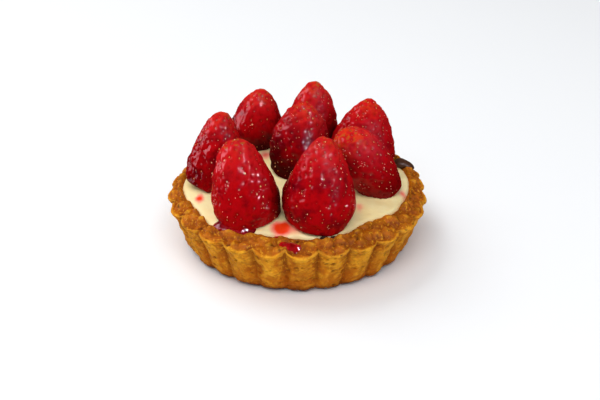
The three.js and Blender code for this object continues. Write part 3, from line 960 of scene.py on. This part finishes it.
def stain_group():
    """A stain on the cream: a mask that is 1 at its middle and fades to 0 round it, squeezed."""
    tree = bpy.data.node_groups.new("stain", "ShaderNodeTree")
    kinds = {"Middle": "Vector", "Squeeze": "Vector", "Core": "Float", "Reach": "Float"}
    for label, kind in kinds.items():
        tree.interface.new_socket(label, in_out="INPUT", socket_type="NodeSocket" + kind)
    tree.interface.new_socket("Mask", in_out="OUTPUT", socket_type="NodeSocketFloat")
    given = tree.nodes.new("NodeGroupInput").outputs
    place = put(tree, "ShaderNodeTexCoord").outputs["Object"]
    noise = put(tree, "ShaderNodeTexNoise", {"Vector": place, "Scale": 300.0, "Detail": 3.0})
    wander = product(tree, maths(tree, "SUBTRACT", noise.outputs[0], 0.5), 2.0 * mm)
    offset = vector_maths(tree, "SUBTRACT", place, given["Middle"])
    offset = vector_maths(tree, "MULTIPLY", offset, given["Squeeze"])
    away = maths(tree, "ADD", vector_maths(tree, "LENGTH", offset), wander)
    output = tree.nodes.new("NodeGroupOutput")
    tree.links.new(ramp(tree, away, given["Reach"], given["Core"]), output.inputs["Mask"])
    return tree


def cream_material():
    """Pale yellow custard with soft red stains."""
    tree, shader, material = new_material("custard cream")
    custard = (0.90, 0.72, 0.34, 1)
    pale = (0.94, 0.82, 0.46, 1)
    pink = (1, 0.28, 0.19, 1)
    red = (1, 0.045, 0.001, 1)
    stain_tree = stain_group()
    colour = mixed(tree, mottle(tree, 9 * mm, 0.5, 0.2, 1.0), custard, pale)
    # The middle of each stain, how much it is squeezed from front to back, how far its full red
    # reaches (below 0 for a weak one) and how far its pink edge does, in mm.
    stains = [((-36.9, -11.8, 23), 0.5, -0.5, 2.8), ((-5.7, -34.2, 22.3), 0.95, 1.4, 5.4),
              ((-0.6, -35.8, 22.2), 1.1, -5.5, 5.2), ((40, -7.5, 22.4), 0.55, -2.5, 3.2),
              ((22.8, -20, 22.6), 0.55, -3.5, 3.4), ((-13.1, 22.7, 24.2), 0.55, -2.5, 4.4)]
    for middle, squeeze, core, reach in stains:
        mask = put(tree, "ShaderNodeGroup", {
            "Middle": [value * mm for value in middle], "Squeeze": (1, squeeze, 0.3),
            "Core": core * mm, "Reach": reach * mm}, node_tree=stain_tree).outputs["Mask"]
        colour = mixed(tree, ramp(tree, mask, 0.0, 0.55), colour, pink)
        colour = mixed(tree, ramp(tree, mask, 0.45, 0.85), colour, red)
    tree.links.new(colour, shader.inputs["Base Color"])
    set_inputs(shader, {
        "Roughness": 0.45, "Specular IOR Level": 0.3, "Subsurface Weight": 0.1,
        "Subsurface Radius": (1.0, 0.8, 0.45), "Subsurface Scale": 0.6 * mm})
    bumped(tree, shader, mottle(tree, 1.2 * mm, 0.5, 0.3, 4.0), 0.3, 0.15 * mm)
    return material


cream = add_object("cream", cream_mesh(), cream_material())
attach(cream, "root")
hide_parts("cream_filling")


# Drops lie on the crust and cream: a dab of dark chocolate across the rim at the back right, red
# jelly that ran onto the rim in front and glaze that pooled at the foot of the front left
# strawberry. Two dark matt patches at the foot of the front right one are painted shade where the
# cream meets the crust.
scene_graph = bpy.context.evaluated_depsgraph_get()
ground = [BVHTree.FromObject(thing, scene_graph) for thing in (crust, cream)]
patch_reach = 0.7 * mm
look_down_from = 60 * mm
# Ground below this is beside the rim. A drop that hangs over it keeps this far below its middle.
beside_rim = 8 * mm
overhang_fall = 1.5 * mm
drop_columns, drop_rows = 56, 14
edge_sink, underside_sink = 0.12 * mm, 0.35 * mm
drop_wave_size, drop_wave_share = 2.4 * mm, 0.06


def ground_height(x, y):
    """Height of the crust or cream round a place, evened out over a small patch."""
    heights = []
    for step_x, step_y in ((0, 0), (-1, 0), (1, 0), (0, -1), (0, 1)):
        above = Vector((x + step_x * patch_reach, y + step_y * patch_reach, look_down_from))
        hits = [tree.ray_cast(above, Vector((0, 0, -1)))[0] for tree in ground]
        if any(hits):
            heights.append(max(hit.z for hit in hits if hit is not None))
    return sum(heights) / len(heights) if heights else None


def drop_mesh(name, middle, size, direction, thickness, ragged, seed):
    """A drop that follows the ground under it, with a wandering outline and a rounded top. Its
    middle, length, width and thickness are in mm and its direction is in degrees."""
    turn = np.arange(drop_columns) * 2 * np.pi / drop_columns
    circle = np.stack([np.cos(turn), np.sin(turn), 0 * turn], axis=-1)
    outline = 1 + ragged * wavy(circle, 2.4, seed)
    heading = math.radians(direction)
    rings, under = [], []
    middle_height = ground_height(middle[0] * mm, middle[1] * mm)
    for row in range(drop_rows + 1):
        share = math.sin(math.pi / 2 * row / drop_rows)
        top, bottom = [], []
        for column in range(drop_columns):
            along = size[0] / 2 * mm * share * outline[column] * math.cos(turn[column])
            across = size[1] / 2 * mm * share * outline[column] * math.sin(turn[column])
            x = middle[0] * mm + along * math.cos(heading) - across * math.sin(heading)
            y = middle[1] * mm + along * math.sin(heading) + across * math.cos(heading)
            found = ground_height(x, y)
            on_rim = found is not None and found > beside_rim
            z = found if on_rim else middle_height - overhang_fall
            bulge = thickness * mm * math.cos(math.pi / 2 * share) ** 0.6
            top.append((x, y, z + bulge - edge_sink))
            bottom.append((x, y, z - underside_sink))
        rings.append(top)
        under.append(bottom)
    rings = np.array(rings)
    for _ in range(4):
        height = rings[..., 2]
        beside = [np.roll(height, step, axis=1)[1:-1] for step in (1, -1)]
        rings[1:-1, :, 2] = (height[1:-1] + height[:-2] + height[2:] + beside[0] + beside[1]) / 5
    waves = wavy(rings[1:-1], drop_wave_size, seed)
    rings[1:-1, :, 2] += drop_wave_share * thickness * mm * waves
    rings[0, :, 2] = rings[1, :, 2].mean()
    return closed_grid(name, np.concatenate([np.array(under), rings[::-1]]), {})


def chocolate_material():
    """Dark chocolate with a soft gloss."""
    tree, shader, material = new_material("dark chocolate")
    dark = (0.055, 0.016, 0.006, 1)
    milky = (0.09, 0.032, 0.014, 1)
    colour = mixed(tree, mottle(tree, 2 * mm, 0.5, 0.2, 6.0), dark, milky)
    tree.links.new(colour, shader.inputs["Base Color"])
    set_inputs(shader, {"Roughness": 0.4, "Specular IOR Level": 0.3})
    bumped(tree, shader, mottle(tree, 1.5 * mm, 0.5, 0.4, 8.0), 0.4, 0.2 * mm)
    return material


def jelly_material(name, colour):
    """Clear red jelly, deeper in patches."""
    tree, shader, material = new_material(name)
    deep = tuple(0.35 * part for part in colour) + (1,)
    tint = mixed(tree, mottle(tree, 3 * mm, 0.5, 0.2, 2.0), deep, colour + (1,))
    tree.links.new(tint, shader.inputs["Base Color"])
    set_inputs(shader, {
        "Roughness": 0.15, "Specular IOR Level": 0.2, "Coat Weight": 0.25,
        "Coat Roughness": 0.05, "Subsurface Weight": 0.3,
        "Subsurface Radius": (1.0, 0.1, 0.1), "Subsurface Scale": 1.5 * mm})
    return material


def chocolate_mesh():
    """A flattened drop that lies across the rim and runs down outwards."""
    columns, rows = 64, 33
    middle = np.array((42.6, 16.9, 22.9)) * mm
    half_length, half_width, half_thickness = 4.2 * mm, 3.2 * mm, 1.7 * mm
    heading = math.radians(-12)
    slope = 0.45
    shoulder = 45.6 * mm
    rise = -np.cos(np.pi * np.arange(rows) / (rows - 1))[:, None]
    turn = (np.arange(columns) * 2 * np.pi / columns)[None, :]
    reach = np.sqrt(np.clip(1 - rise ** 2, 0, 1))
    along = half_length * reach * np.sin(turn) * (1 + 0.05 * np.cos(3 * turn + 1))
    across = -half_width * reach * np.cos(turn) * (1 + 0.08 * np.cos(2 * turn + 2))
    x = middle[0] + along * math.cos(heading) - across * math.sin(heading)
    y = middle[1] + along * math.sin(heading) + across * math.cos(heading)
    run = slope * np.maximum(np.hypot(x, y) - shoulder, 0)
    points = np.stack([x, y, middle[2] + half_thickness * rise - run], axis=-1)
    points[..., 2] += 0.12 * mm * wavy(points, 4 * mm, 21)
    return closed_grid("chocolate", points, {})


dab = add_object("chocolate_drop", chocolate_mesh(), chocolate_material())
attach(dab, "root")
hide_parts("chocolate_dab")

red_jelly = jelly_material("red_jelly", (0.5, 0.004, 0.008))
# Middle, length and width, direction, thickness, raggedness and seed of each drop.
jelly_drops = {
    "jelly_on_rim": ((-2.4, -43.8), (8.6, 4.6), -6, 0.8, 0.16, 7),
    "jelly_droplet": ((-7.8, -39.6), (2.2, 1.8), 0, 0.5, 0.05, 8),
}
for drop_name, shape in jelly_drops.items():
    drop = add_object(drop_name, drop_mesh(drop_name, *shape), red_jelly)
    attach(drop, "root")

dark_glaze = jelly_material("dark_glaze", (0.34, 0.003, 0.010))
pool_mesh = drop_mesh("glaze_pool", (-22.6, -32.8), (17, 8), -22, 2.4, 0.14, 9)
glaze_pool = add_object("glaze_pool", pool_mesh, dark_glaze)
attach(glaze_pool, "root")

# Painted shade: dark matt patches in the gap where the cream meets the crust.
_, shade_shader, shade_black = new_material("painted shade patch")
set_inputs(shade_shader, {
    "Base Color": (0.03, 0.012, 0.006, 1), "Roughness": 0.8, "Specular IOR Level": 0.1})
shade_patches = {
    "shade_patch_left": ((9.2, -40.0), (3.4, 2.4), 15, 0.9, 0.2, 12),
    "shade_patch_right": ((12.6, -38.9), (2.2, 1.4), 20, 0.8, 0.2, 13),
}
for patch_name, shape in shade_patches.items():
    crumb = add_object(patch_name, drop_mesh(patch_name, *shape), shade_black)
    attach(crumb, "root")
